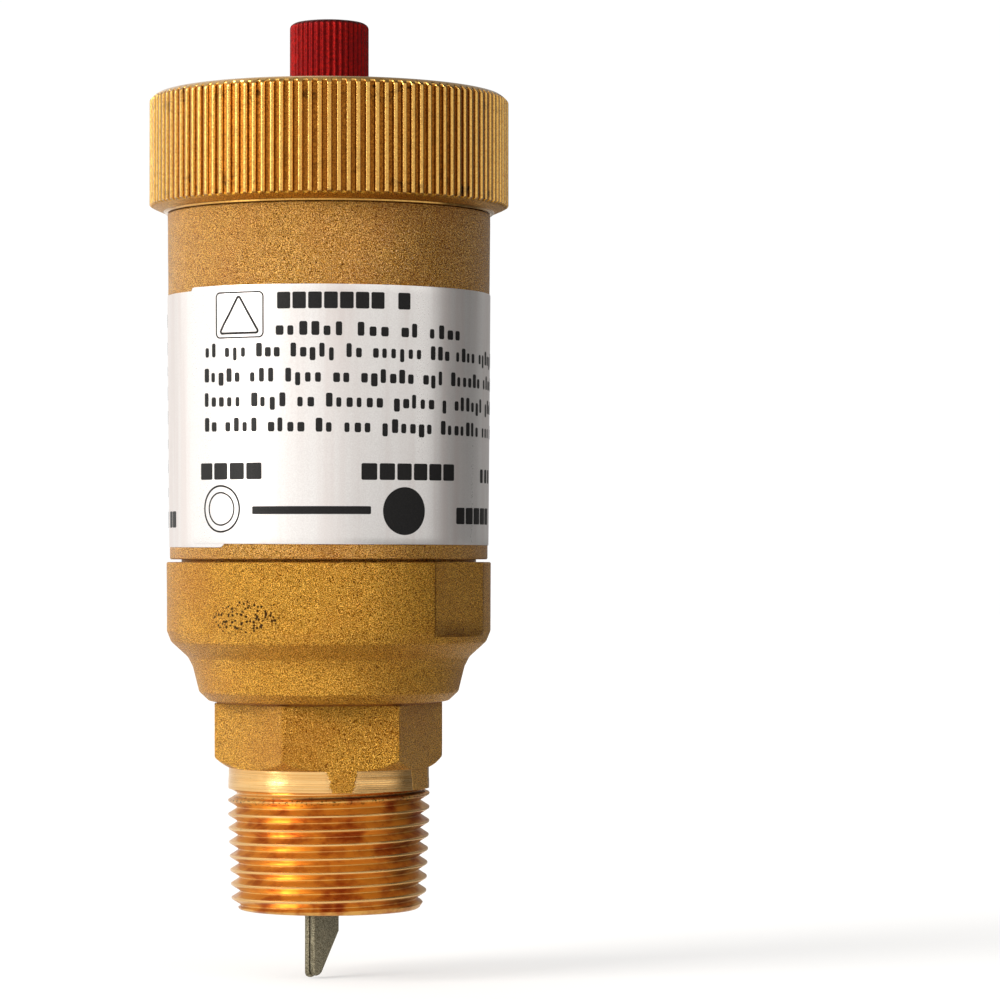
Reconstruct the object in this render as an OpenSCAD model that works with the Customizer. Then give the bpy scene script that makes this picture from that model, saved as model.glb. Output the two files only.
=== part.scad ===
// Float-operated automatic air vent for the high point of a heating circuit.
// A forged brass pot stands on a 3/4 in tapered inlet thread. Inside it a float works a lever
// that pulls a rubber-tipped poppet up against the vent seat. A knurled head on the pot's neck
// is turned by hand to shut the vent off, and a ribbed cap closes its nozzle.
// +Z is up. The origin is on the pot's axis, at the end face of the inlet thread.

/* [Inlet] */
// Crest radius of the inlet thread
thread_r = 13.0; // [12.5:0.05:13.4]
// Length of the inlet thread
thread_len = 15.2; // [12:0.1:18]
// Thread pitch, 14 threads to the inch
thread_pitch = 1.814; // [1.5:0.001:2.4]
// Depth of the thread
thread_depth = 1.0; // [0.5:0.05:1.2]
// Width of the flat on each thread crest
thread_land = 0.5; // [0.3:0.05:0.8]
// Radius of the plain neck above the thread
neck_r = 12.8; // [12.4:0.05:12.9]
// Radius of the bore through the inlet
inlet_bore_r = 9.0; // [8:0.1:9.4]

/* [Lower body] */
// Width of the hexagon across its flats
hex_af = 26; // [24:0.5:30]
// Turn of the hexagon about the axis, in degrees
hex_turn = 6.8; // [0:0.1:60]
// Height of the hexagon's lower end
hex_z0 = 18.4; // [17:0.1:20]
// Height of the hexagon's upper end
hex_z1 = 26.8; // [25:0.1:29]
// Largest radius of the bell
bell_r = 21.15; // [20:0.05:23]
// Height of the bell's rim
bell_top = 44.8; // [42:0.1:47]
// Distance from the axis to each wrench flat on the bell
bell_flat = 20.4; // [20.2:0.1:21]
// Direction of the first wrench flat, in degrees
bell_flat_turn = -35; // [-90:1:90]

/* [Upper body] */
// Radius of the pot at its lower end
pot_r0 = 20.7; // [20:0.05:22]
// Radius of the pot at its upper end, with the casting draft
pot_r1 = 21.05; // [20:0.05:22]
// Height of the pot's lower shoulder
pot_z0 = 45.4; // [45:0.1:48]
// Height of the pot's upper shoulder
pot_z1 = 90.1; // [85:0.1:92]
// Radius of the float chamber
chamber_r = 18.3; // [17:0.1:19]
// Radius of the neck that carries the head
pot_neck_r = 20.0; // [19:0.05:20.5]
// Height of the neck's rim
pot_neck_top = 102.4; // [101:0.1:103]

/* [Label] */
// Height of the label's lower edge
label_z0 = 48.0; // [46:0.5:55]
// Height of the label's upper edge
label_z1 = 80.0; // [70:0.5:88]
// Thickness of the label
label_t = 0.12; // [0.05:0.01:0.3]

/* [Knurled head] */
// Radius over the knurl's ridges
head_r = 23.45; // [22:0.05:25]
// Depth of the knurl
knurl_depth = 0.5; // [0.2:0.05:0.8]
// Number of ridges in the knurl
knurl_count = 120; // [60:1:160]
// Angle the head turns through between its stops
head_turn_deg = 70; // [45:1:90]

/* [Vent cap] */
// Radius over the cap's ribs
cap_r = 5.15; // [4.5:0.05:6]
// Number of ribs round the cap
cap_ribs = 40; // [24:1:60]
// Height of the cap's top
cap_top = 115.8; // [113:0.1:118]

/* [Float and valve] */
// Radius of the float
float_r = 16.2; // [14:0.1:17]
// Travel of the float
float_travel = 4.0; // [3:0.1:5]
// Distance from the lever's pivot to the valve stem
valve_arm = 7.5; // [6:0.1:9]
// Distance from the lever's pivot to the float's pin
float_arm = 20; // [18:0.5:22]
// Running clearance between the moving pieces
run_gap = 0.05; // [0.02:0.01:0.1]

/* [Drip strip] */
// Width of the folded strip
blade_w = 5.0; // [3:0.1:7]
// Thickness of each leaf of the strip
blade_t = 0.78; // [0.4:0.02:1]
// Reach of the strip below the thread
blade_drop = 8.9; // [5:0.1:12]
// Direction of the strip's width, in degrees
blade_turn = 50; // [0:1:90]
// Offset of the strip from the axis
blade_x = -0.9; // [-2:0.1:2]

/* [Hidden] */
$fn = 96;

forged = [0.74, 0.60, 0.38];
turned = [0.86, 0.72, 0.42];
steel = [0.62, 0.62, 0.60];
rubber = [0.12, 0.12, 0.13];
red = [0.70, 0.10, 0.08];
foil = [0.86, 0.86, 0.85];
white = [0.88, 0.88, 0.84];
fibre = [0.55, 0.20, 0.14];

bite = 1;                     // how far a cutting solid runs past the face it opens
hex_r = hex_af / 2 / cos(30);
spigot_r = 19.2;              // threaded joint between the two body halves
spigot_z = 38.8;
gasket_z = 37.2;
retainer_z = 24.0;
retainer_t = 1.5;
deck_z0 = 93.6;
deck_z1 = 97.1;
pocket_r = 16.0;
flange_z = 98.6;
lip_z = 99.0;
shank_r = 4.0;
guide_r = 2.25;
seat_z = 91.0;
bracket_z = 92.8;
nut_z = 90.2;
pivot = [-valve_arm, 84.1];   // x and z of the lever's pivot
lever_tilt = asin(float_travel / 2 / float_arm);
float_pin_at = [pivot[0] + float_arm * cos(lever_tilt), pivot[1] - float_travel / 2];
stem_slot_z = pivot[1] - valve_arm * tan(lever_tilt);
stem_r = guide_r - run_gap;
float_z0 = 47.6;
float_z1 = 77.1;
head_z0 = 90.5;
head_z1 = 106.0;
head_ceiling = 102.9;
head_bore = pot_neck_r + run_gap;
stop_r = 17.3;                // radius at which the stop pin stands
stop_turn = 100;
stop_pin_r = 0.75;
nozzle_r = 3.6;
nozzle_top = 112.6;
cap_z0 = 106.2;

// Radius of the pot's tapered wall at a height.
function pot_wall(z) = pot_r0 + (pot_r1 - pot_r0) * (z - pot_z0) / (pot_z1 - pot_z0);

// Outline of a thread with flat crests, from the end face up.
function thread_outline(n) = [for (i = [0 : n - 1]) each [
    [thread_r, i * thread_pitch],
    [thread_r, i * thread_pitch + thread_land],
    [thread_r - thread_depth, (i + 0.5) * thread_pitch + thread_land / 2 - 0.1],
    [thread_r - thread_depth, (i + 0.5) * thread_pitch + thread_land / 2 + 0.1]]];

// Outline of a ribbed round, with n ridges between radius r and radius r - depth.
function ribbed(r, depth, n) = [for (i = [0 : 2 * n - 1])
    let (a = 180 * i / n, q = i % 2 == 0 ? r : r - depth) [q * cos(a), q * sin(a)]];

// Outline of a slot of half-width r whose ends are d apart.
function slot_outline(r, d, n = 24) = [for (i = [0 : n])
    let (a = -90 + 180 * i / n) [d / 2 + r * cos(a), r * sin(a)],
    for (i = [0 : n]) let (a = 90 + 180 * i / n) [-d / 2 + r * cos(a), r * sin(a)]];

// Ring between two radii and two heights.
module ring(r0, r1, z0, z1) {
    rotate_extrude() polygon([[r0, z0], [r1, z0], [r1, z1], [r0, z1]]);
}

// Squeezed sealing ring, its corners broken by c.
module seal_ring(r0, r1, z0, z1, c = 0.3) {
    rotate_extrude() polygon([[r0 + c, z0], [r1 - c, z0], [r1, z0 + c], [r1, z1 - c],
        [r1 - c, z1], [r0 + c, z1], [r0, z1 - c], [r0, z0 + c]]);
}

// Cylinder along Y from y0 to y1 through the point [x, z].
module rod_y(at, r, y0, y1) {
    translate([at[0], y1, at[1]]) rotate([90, 0, 0]) cylinder(h = y1 - y0, r = r, $fn = 48);
}

// Outline in x and z, given a thickness along Y from y0 to y1.
module slab_y(outline, y0, y1) {
    translate([0, y1, 0]) rotate([90, 0, 0]) linear_extrude(y1 - y0) polygon(outline);
}

module lower_body() {
    color(forged) difference() {
        union() {
            rotate_extrude() polygon(concat([[0, 0]], thread_outline(8), [
                [thread_r, 8 * thread_pitch], [thread_r, thread_len],
                [neck_r, thread_len], [neck_r, hex_z0], [12.5, hex_z0], [12.5, hex_z1],
                [15.0, hex_z1], [16.6, 28.25], [17.65, 31.9], [18.5, 32.6], [20.5, 34.9],
                [bell_r, 36.2], [bell_r, bell_top - 0.3], [bell_r - 0.3, bell_top],
                [0, bell_top]]));
            intersection() {
                translate([0, 0, hex_z0]) rotate([0, 0, hex_turn])
                    cylinder(h = hex_z1 - hex_z0, r = hex_r, $fn = 6);
                rotate_extrude() polygon([[0, hex_z0], [hex_af / 2 + 0.1, hex_z0],
                    [hex_r + 0.2, hex_z0 + 1.4], [hex_r + 0.2, hex_z1], [0, hex_z1]]);
            }
        }
        // Inlet bore, retainer step, bell and female joint thread.
        rotate_extrude() polygon([[0, -bite], [inlet_bore_r + 0.6, -bite],
            [inlet_bore_r + 0.6, 0], [inlet_bore_r, 0.6], [inlet_bore_r, retainer_z],
            [inlet_bore_r + 0.6, retainer_z], [inlet_bore_r + 0.6, 29], [14.4, 32],
            [17, 36], [17, gasket_z], [spigot_r + run_gap, gasket_z],
            [spigot_r + run_gap, bell_top + bite], [0, bell_top + bite]]);
        for (a = [0, 180]) rotate([0, 0, bell_flat_turn + a])
            translate([bell_flat, -15, 35.8]) cube([5, 30, 12]);
    }
}

// Perforated disc on the step of the inlet bore, which carries the drip strip.
module blade_retainer() {
    color(steel) difference() {
        translate([0, 0, retainer_z])
            cylinder(h = retainer_t, r = inlet_bore_r + 0.6 - run_gap);
        for (i = [0 : 5]) rotate([0, 0, blade_turn + 30 + 60 * i])
            translate([6.4, 0, retainer_z - bite])
                cylinder(h = retainer_t + 2 * bite, r = 1.8, $fn = 32);
        translate([blade_x, 0, retainer_z - bite]) rotate([0, 0, blade_turn])
            translate([-blade_w / 2 - 0.05, -0.9, 0])
                cube([blade_w + 0.1, 1.8, retainer_t + 2 * bite]);
    }
}

// Strip folded double over its top, hanging through the retainer and out of the inlet.
module drip_blade() {
    top = retainer_z + retainer_t + 1.8;
    w = blade_w / 2;
    outline = [[-w, top], [w, top], [w, -3.1], [-1.0, -blade_drop + 0.35],
        [-1.45, -blade_drop + 0.08], [-1.9, -blade_drop], [-2.3, -blade_drop + 0.2],
        [-w, -blade_drop + 0.6]];
    color(steel) translate([blade_x, 0, 0]) rotate([0, 0, blade_turn]) {
        slab_y(outline, 0.07, 0.07 + blade_t);
        slab_y(outline, -0.07 - blade_t, -0.07);
        translate([-w, -0.07 - blade_t, top - 0.8]) cube([blade_w, 2 * blade_t + 0.14, 0.8]);
        translate([-w, -2.4, retainer_z + retainer_t]) cube([blade_w, 1.6, 0.7]);
        translate([-w, 0.8, retainer_z + retainer_t]) cube([blade_w, 1.6, 0.7]);
    }
}

module body_gasket() {
    color(rubber) seal_ring(17.2, spigot_r - 0.1, gasket_z, spigot_z);
}

// Upper half of the pot, with the deck that carries the valve and the neck for the head.
module upper_body() {
    color(forged) difference() {
        rotate_extrude() polygon([[17, spigot_z], [spigot_r, spigot_z], [spigot_r, pot_z0],
            [pot_r0, pot_z0], [pot_r1, pot_z1], [pot_neck_r, pot_z1], [pot_neck_r, 100.2],
            [18.6, 100.2], [18.6, 101.8], [pot_neck_r, 101.8], [pot_neck_r, 102.2],
            [pot_neck_r - 0.2, pot_neck_top], [pocket_r, pot_neck_top], [pocket_r, deck_z1],
            [shank_r + run_gap, deck_z1], [shank_r + run_gap, deck_z0],
            [chamber_r, deck_z0], [chamber_r, 46], [17, 46]]);
        rotate([0, 0, stop_turn]) translate([stop_r, 0, lip_z])
            cylinder(h = 10, r = stop_pin_r + 0.03, $fn = 32);
    }
}

// Foil label wrapped round the pot.
module label() {
    r0 = pot_wall(label_z0) + 0.01;
    r1 = pot_wall(label_z1) + 0.01;
    color(foil) rotate_extrude() polygon([[r0, label_z0], [r0 + label_t, label_z0],
        [r1 + label_t, label_z1], [r1, label_z1]]);
}

// Turned insert: shut-off lip above the deck, vent seat and stem guide below it.
module seat_insert() {
    color(turned) difference() {
        rotate_extrude() polygon([[1.5, 93], [1.5, flange_z], [2.4, flange_z], [2.4, lip_z],
            [3.2, lip_z], [3.2, flange_z], [6.7, flange_z], [7, flange_z - 0.3], [7, deck_z1],
            [6.2, deck_z1], [6.2, deck_z1 + 0.8], [5, deck_z1 + 0.8], [5, deck_z1],
            [shank_r, deck_z1], [shank_r, nut_z], [3.3, nut_z - 0.4], [3.3, 86.2],
            [guide_r, 86.2], [guide_r, seat_z], [0.6, seat_z], [0.6, 93]]);
        for (a = [0, 90]) rotate([0, 0, a + 45])
            translate([-5, -0.8, 88.4]) cube([10, 1.6, 1.6]);
    }
}

module seat_o_ring() {
    color(rubber) seal_ring(5.05, 6.15, deck_z1, deck_z1 + 0.78, 0.2);
}

module seat_nut() {
    color(turned) difference() {
        translate([0, 0, nut_z]) rotate([0, 0, 30])
            cylinder(h = bracket_z - nut_z, r = 5 / cos(30), $fn = 6);
        translate([0, 0, nut_z - bite]) cylinder(h = 5, r = shank_r + run_gap);
    }
}

// Sheet bracket clamped under the deck, whose two ears carry the lever's pivot.
module lever_bracket() {
    color(steel) difference() {
        union() {
            translate([0, 0, bracket_z]) cylinder(h = deck_z0 - bracket_z, r = 7.2);
            translate([-8.9, -3.2, bracket_z]) cube([8, 6.4, deck_z0 - bracket_z]);
            for (y = [-3.2, 2.4]) translate([-8.9, y, pivot[1] - 1.8])
                cube([2.8, 0.8, bracket_z - pivot[1] + 2.2]);
        }
        translate([0, 0, bracket_z - bite]) cylinder(h = 4, r = shank_r + run_gap);
        rod_y(pivot, 0.78, -5, 5);
    }
}

module lever_pin() {
    color(steel) difference() {
        union() {
            rod_y(pivot, 0.75, -3.6, 4.1);
            rod_y(pivot, 1.3, -4.0, -3.25);
        }
        translate([pivot[0], 3.65, pivot[1]]) rotate([90, 0, 0]) difference() {
            cylinder(h = 0.4, r = 1.2, $fn = 32);
            cylinder(h = 0.4, r = 0.5, $fn = 32);
        }
    }
}

// Open spring clip in the groove of the lever's pin.
module lever_clip() {
    color(steel) translate([pivot[0], 3.6, pivot[1]]) rotate([90, 0, 0]) difference() {
        cylinder(h = 0.3, r = 1.6, $fn = 48);
        translate([0, 0, -bite]) cylinder(h = 3, r = 0.53, $fn = 32);
        translate([-0.45, -3, -bite]) cube([0.9, 3, 3]);
    }
}

// Pin in the neck's rim that stops the head at open and at shut.
module stop_pin() {
    color(steel) rotate([0, 0, stop_turn]) translate([stop_r, 0, lip_z])
        cylinder(h = 5.3, r = stop_pin_r, $fn = 32);
}

module head_o_ring() {
    color(rubber) seal_ring(18.65, pot_neck_r - 0.02, 100.25, 101.75, 0.4);
}

// Lever from the bracket's pivot past the valve stem to the float's pin.
module float_lever() {
    color(steel) translate([pivot[0], 0, pivot[1]]) rotate([0, lever_tilt, 0])
        difference() {
            union() {
                rod_y([0, 0], 1.7, -2.2, 2.2);
                translate([0, -0.8, -0.5]) cube([float_arm - 1, 1.6, 1]);
                slab_y([for (p = slot_outline(1.55, 1.2)) p + [float_arm - 0.05, 0]],
                    -1.2, 1.2);
            }
            rod_y([0, 0], 0.75 + run_gap, -5, 5);
            slab_y([for (p = slot_outline(0.86, 0.5)) p + [float_arm - 0.05, 0]], -3, 3);
        }
}

// Valve stem, slotted for the lever and socketed for its rubber tip.
module valve_poppet() {
    color(turned) difference() {
        translate([0, 0, 81.9]) cylinder(h = 6.4, r = stem_r, $fn = 64);
        translate([0, 0, 87.3]) cylinder(h = 3, r = 1.42, $fn = 48);
        translate([-4, -0.9, stem_slot_z - 0.8]) cube([8, 1.8, 1.6]);
    }
}

module poppet_tip() {
    color(rubber) rotate_extrude() polygon([[0, 87.3], [1.4, 87.3], [1.4, 89.2],
        [1.1, 89.5], [0, 89.5]]);
}

// Hollow float, open at the top, with ribs that guide it down the chamber.
module float_cup() {
    color(white) difference() {
        union() {
            rotate_extrude() polygon([[0, float_z0], [float_r - 1, float_z0],
                [float_r, float_z0 + 1], [float_r, 75.6], [0, 75.6]]);
            for (i = [0 : 3]) rotate([0, 0, 45 + 90 * i]) intersection() {
                ring(float_r - 0.7, chamber_r - 0.1, 46.05, 74);
                translate([0, -0.8, 0]) cube([30, 1.6, 100]);
            }
        }
        translate([0, 0, float_z0 + 1.5]) cylinder(h = 40, r = float_r - 1.2);
    }
}

// Lid welded into the float, with the two ears that hold the lever's pin.
module float_lid() {
    x = float_pin_at[0];
    color(white) difference() {
        union() {
            ring(float_r - 3, float_r - 1.2 - run_gap, 74.1, 75.6);
            translate([0, 0, 75.6]) cylinder(h = float_z1 - 75.6, r = float_r);
            for (y = [-2.6, 1.4]) slab_y(concat([[x - 1.8, float_z1 - 0.5], [x + 1.8, float_z1 - 0.5]],
                [for (i = [0 : 12]) [x + 1.8 * cos(15 * i), float_pin_at[1] + 1.8 * sin(15 * i)]]),
                y, y + 1.2);
        }
        rod_y(float_pin_at, 0.83, -5, 5);
    }
}

module float_pin() {
    color(steel) rod_y(float_pin_at, 0.8, -2.9, 2.9);
}

// Swivelling button that carries the shut-off disc under the head.
module shutoff_holder() {
    color(turned) rotate_extrude() polygon([[4.55, 99.4], [5.3, 99.4], [5.3, 101.4],
        [3, 101.4], [3, 102], [1.6 + run_gap, 102], [1.6 + run_gap, 101], [2.6, 101],
        [2.6, 100.2], [4.55, 100.2]]);
}

module shutoff_disc() {
    color(rubber) translate([0, 0, lip_z]) cylinder(h = 1.2, r = 4.5);
}

// Knurled head, bored to turn on the pot's neck, with an arc slot for the stop pin.
module knurled_head() {
    slack = asin((stop_pin_r + 0.1) / stop_r) + 0.1;
    color(forged) difference() {
        union() {
            rotate_extrude() polygon([[0, head_z0], [21.1, head_z0],
                [head_r - knurl_depth, head_z0 + 1.15], [head_r - knurl_depth, 105.3],
                [head_r - 1.2, head_z1], [0, head_z1]]);
            translate([0, 0, 91.9]) linear_extrude(105.1 - 91.9)
                polygon(ribbed(head_r, knurl_depth + 0.1, knurl_count));
        }
        rotate_extrude() polygon([[0, head_z0 - bite], [head_bore, head_z0 - bite],
            [head_bore, head_ceiling], [6.5, head_ceiling], [6.5, 104.9],
            [nozzle_r + run_gap, 104.9], [nozzle_r + run_gap, head_z1 + bite],
            [0, head_z1 + bite]]);
        rotate([0, 0, stop_turn - head_turn_deg - slack])
            rotate_extrude(angle = head_turn_deg + 2 * slack)
                polygon([[stop_r - 0.85, head_ceiling - 0.4], [stop_r + 0.85, head_ceiling - 0.4],
                    [stop_r + 0.85, 104.8], [stop_r - 0.85, 104.8]]);
    }
}

// Turned nozzle held in the head's roof: vent bore, cross holes and the holder's stem.
module vent_nozzle() {
    color(turned) difference() {
        rotate_extrude() polygon([[0, 100.4], [2.4, 100.4], [2.4, 100.9], [1.6, 100.9],
            [1.6, 102.05], [2.6, 102.05], [2.6, 103.4], [5.4, 103.4], [5.4, 104.4],
            [nozzle_r, 104.4], [nozzle_r, nozzle_top - 0.4], [nozzle_r - 0.4, nozzle_top],
            [1.3, nozzle_top], [1.3, 102.4], [0, 102.4]]);
        for (a = [0, 90]) rotate([0, 0, a]) translate([0, 0, 102.95]) rotate([0, 90, 0])
            translate([0, 0, -4]) cylinder(h = 8, r = 0.4, $fn = 24);
    }
}

module nozzle_washer() {
    color(fibre) ring(nozzle_r + run_gap, 5.4, 104.4, 104.9);
}

module cap_seal() {
    color(rubber) translate([0, 0, nozzle_top]) cylinder(h = 1, r = nozzle_r + 0.02);
}

// Ribbed screw cap over the nozzle.
module vent_cap() {
    color(red) difference() {
        union() {
            rotate_extrude() polygon([[0, cap_z0], [4.9, cap_z0], [5.0, cap_z0 + 0.2],
                [5.0, 114.9], [4.8, 115.4], [4.3, cap_top - 0.12], [3, cap_top],
                [0, cap_top]]);
            translate([0, 0, cap_z0 + 0.3]) linear_extrude(8.3)
                polygon(ribbed(cap_r, 0.2, cap_ribs));
        }
        translate([0, 0, cap_z0 - bite])
            cylinder(h = nozzle_top + 1 - cap_z0 + bite, r = nozzle_r + 0.1);
    }
}

lower_body();
blade_retainer();
drip_blade();
body_gasket();
upper_body();
label();
seat_insert();
seat_o_ring();
seat_nut();
lever_bracket();
lever_pin();
lever_clip();
stop_pin();
head_o_ring();
float_lever();
valve_poppet();
poppet_tip();
float_cup();
float_lid();
float_pin();
shutoff_holder();
shutoff_disc();
knurled_head();
vent_nozzle();
nozzle_washer();
cap_seal();
vent_cap();
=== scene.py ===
"""Automatic air vent: visible pieces over the CAD pieces, with their materials, light and camera.

Lengths are in millimetres until finish_mesh turns them into metres. Angles about the part's axis are
polar, from +X towards +Y. Where an angle is called theta, it starts at the front (-Y) and grows to
the right (+X).
"""
import math

import bmesh
import bpy
import numpy as np
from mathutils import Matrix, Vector


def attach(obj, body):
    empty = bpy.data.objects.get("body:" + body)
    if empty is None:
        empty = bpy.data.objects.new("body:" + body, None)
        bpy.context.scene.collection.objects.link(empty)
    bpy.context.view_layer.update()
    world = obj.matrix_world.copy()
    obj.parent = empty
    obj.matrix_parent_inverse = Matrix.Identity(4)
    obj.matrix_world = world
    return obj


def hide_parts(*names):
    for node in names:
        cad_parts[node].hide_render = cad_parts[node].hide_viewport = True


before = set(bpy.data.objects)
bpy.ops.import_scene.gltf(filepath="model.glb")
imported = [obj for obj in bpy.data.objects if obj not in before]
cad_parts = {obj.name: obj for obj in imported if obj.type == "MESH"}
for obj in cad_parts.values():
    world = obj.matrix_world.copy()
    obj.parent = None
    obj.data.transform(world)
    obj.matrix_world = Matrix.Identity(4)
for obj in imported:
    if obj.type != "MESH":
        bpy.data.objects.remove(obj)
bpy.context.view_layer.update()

MM = 0.001
TAU = 2 * math.pi
DEGREES = 360 / TAU


# ---------------------------------------------------------------- mesh tools
WELD_M = 2e-7
THIN_M = 1e-7


def finish_mesh(name, co, faces, body, nodes=(), sharp=32.0, attrs=None):
    """Builds one piece from vertices in millimetres, welds it, shades it and lets it ride."""
    mesh = bpy.data.meshes.new(name)
    mesh.from_pydata((co * MM).tolist(), [], faces)
    for key, values in (attrs or {}).items():
        a = mesh.attributes.new(key, "FLOAT", "POINT")
        a.data.foreach_set("value", np.asarray(values, np.float32))
    bm = bmesh.new()
    bm.from_mesh(mesh)
    bmesh.ops.remove_doubles(bm, verts=bm.verts, dist=WELD_M)
    bmesh.ops.dissolve_degenerate(bm, edges=bm.edges, dist=THIN_M)
    bm.to_mesh(mesh)
    bm.free()
    mesh.update()
    mesh.shade_smooth()
    mesh.set_sharp_from_angle(angle=math.radians(sharp))
    obj = bpy.data.objects.new(name, mesh)
    # curved faces don't throw stepped shadows on themselves
    obj.shadow_terminator_geometry_offset = 0.4
    bpy.context.scene.collection.objects.link(obj)
    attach(obj, body)
    if nodes:
        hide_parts(*nodes)
    return obj


def grid_faces(m, n, close_m, close_n, base=0):
    """Quads of m rows of n points; a closed direction joins its last row to its first."""
    i = np.arange(m if close_m else m - 1)
    j = np.arange(n if close_n else n - 1)
    gi, gj = np.meshgrid(i, j, indexing="ij")
    i2, j2 = (gi + 1) % m, (gj + 1) % n
    quads = np.stack([gi * n + gj, gi * n + j2, i2 * n + j2, i2 * n + gj], -1)
    return (quads.reshape(-1, 4) + base).tolist()


def unit(v):
    return v / np.linalg.norm(v)


def rounded(points, segs=4):
    """Profile corners (r, z, radius) turned into small arcs; a corner with no radius stays sharp."""
    out = []
    count = len(points)
    for k, p in enumerate(points):
        rad = p[2] if len(p) > 2 else 0.0
        a, b, c = (np.array(points[(k + d) % count][:2], float) for d in (-1, 0, 1))
        if rad <= 0:
            out.append(tuple(b))
            continue
        lu, lv = np.linalg.norm(a - b), np.linalg.norm(c - b)
        u, v = unit(a - b), unit(c - b)
        half = math.acos(float(np.clip(u @ v, -0.9999, 0.9999))) / 2
        cut = min(rad / math.tan(half), 0.48 * lu, 0.48 * lv)
        r_arc = cut * math.tan(half)
        centre = b + unit(u + v) * (r_arc / math.sin(half))
        s, e = b + u * cut - centre, b + v * cut - centre
        a0, a1 = math.atan2(s[1], s[0]), math.atan2(e[1], e[0])
        d = (a1 - a0 + math.pi) % TAU - math.pi
        for t in np.linspace(0, 1, segs + 1):
            ang = a0 + d * t
            out.append((centre[0] + r_arc * math.cos(ang), centre[1] + r_arc * math.sin(ang)))
    return out


def dense(points, step, closed=True):
    """The same line with a point at least every step mm."""
    out = []
    for p, q in zip(points, points[1:] + points[:1] if closed else points[1:]):
        p, q = np.array(p, float), np.array(q, float)
        n = max(1, int(math.ceil(np.linalg.norm(q - p) / step)))
        out += [tuple(p + (q - p) * k / n) for k in range(n)]
    if not closed:
        out.append(tuple(points[-1]))
    return out


def polar(r, z, ang):
    return np.stack([r * np.cos(ang), r * np.sin(ang), z], -1)


def lathe(name, points, columns, body, node, closed=True, shape=None):
    """A line of (r, z) points turned about the axis. shape(r, z, ang) may change the radius."""
    line = np.array(points)
    ang = np.arange(columns) * TAU / columns
    r, z, a = np.broadcast_arrays(line[:, :1], line[:, 1:], ang[None, :])
    if shape is not None:
        r = shape(r, z, a)
    co = polar(r, z, a).reshape(-1, 3)
    return finish_mesh(name, co, grid_faces(len(line), columns, closed, True), body, [node])


class Rings:
    """Rows of points round the axis, all at the same angles, each with its own radius and height."""

    def __init__(self, ang):
        self.ang = ang
        self.r, self.z, self.mask = [], [], []

    def add(self, r, z, mask=0.0):
        for rows, value in ((self.r, r), (self.z, z), (self.mask, mask)):
            rows.append(np.broadcast_to(np.asarray(value, float), self.ang.shape))

    def add_all(self, points, mask=0.0):
        for r, z in points:
            self.add(r, z, mask)

    def points(self):
        return polar(np.array(self.r), np.array(self.z), self.ang[None, :]).reshape(-1, 3)

    def finish(self, name, body, node, sharp):
        faces = grid_faces(len(self.r), len(self.ang), True, True)
        return finish_mesh(name, self.points(), faces, body, [node], sharp)


def ribbed(ribs, offsets, distances, heights):
    """Angles of a ribbed surface, and its height there; places are in shares of one rib's width."""
    offsets = np.array(offsets)
    ang = ((np.arange(ribs)[:, None] + offsets[None, :]) * TAU / ribs).reshape(-1)
    return ang, np.interp(np.tile(np.abs(offsets), ribs), distances, heights)


def smooth(x, a, b):
    t = np.clip((x - a) / (b - a), 0, 1)
    return t * t * (3 - 2 * t)


def smooth_min(a, b, k):
    """The smaller of two radii, with a fillet of about k where they cross."""
    h = np.clip(0.5 + 0.5 * (a - b) / k, 0, 1)
    return a * (1 - h) + b * h - k * h * (1 - h)


def waves(ang, z, seed, lo=2, hi=9, zlen=40.0):
    """Slow, seeded unevenness of a hot-forged skin, about -1 to 1, with lo to hi waves round it."""
    rng = np.random.default_rng(seed)
    total = np.zeros(np.broadcast(ang, z).shape)
    terms = 7
    for _ in range(terms):
        k = rng.integers(lo, hi)
        slope = rng.uniform(-1, 1) * TAU / zlen * 2
        phase = rng.uniform(0, TAU)
        weight = rng.uniform(0.4, 1)
        total = total + np.sin(k * ang + z * slope + phase) * weight
    return total / terms * 1.6


# ---------------------------------------------------------------- lower body
PITCH = 1.814
THREAD_START = 0.272  # turns of the helix at the end face
THREAD_R, THREAD_TAPER = 12.62, 0.043  # crest radius at the end face, and what it gains per mm
THREAD_TOP = 15.65
RUN_OUT_RISE = 0.35  # how far the run-out groove climbs and falls round the neck
NECK_R = 13.05
HEX_TURN = 6.8  # degrees
HEX_APOTHEM, HEX_CORNER, HEX_FOOT = 12.93, 15.12, 18.4
BELL_R, BELL_FLAT = 21.15, 20.4  # radius, and distance of the wrench flats from the axis
FLATS_AT = (-35.0, 145.0)
FLAT_BEVEL = 0.4  # degrees on either side of a flat's edge
LEDGE_Z = 35.62
SKIN_LEFT_AT = math.radians(-143)  # the side on which the forging stands proudest of the cut

# shares of a pitch at which the helix has a row, and the depth below the crest from crest to root
THREAD_ROWS = [
    0.0, 0.035, 0.075, 0.16, 0.25, 0.34, 0.43, 0.47, 0.53, 0.57, 0.66, 0.75, 0.84, 0.925, 0.965,
]
THREAD_DEPTH = ([0, 0.035, 0.075, 0.43, 0.47, 0.5], [0, 0.0, 0.05, 1.08, 1.15, 1.16])
THREAD_GROOVE = ([14.78, 14.88, 15.04, 15.16, 15.3], [20, 12.35, 12.3, 12.95, 13.08])
THREAD_CHAMFER = ([0, 0.15, 1.25, 1.6], [11.6, 11.85, 12.55, 20])

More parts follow.
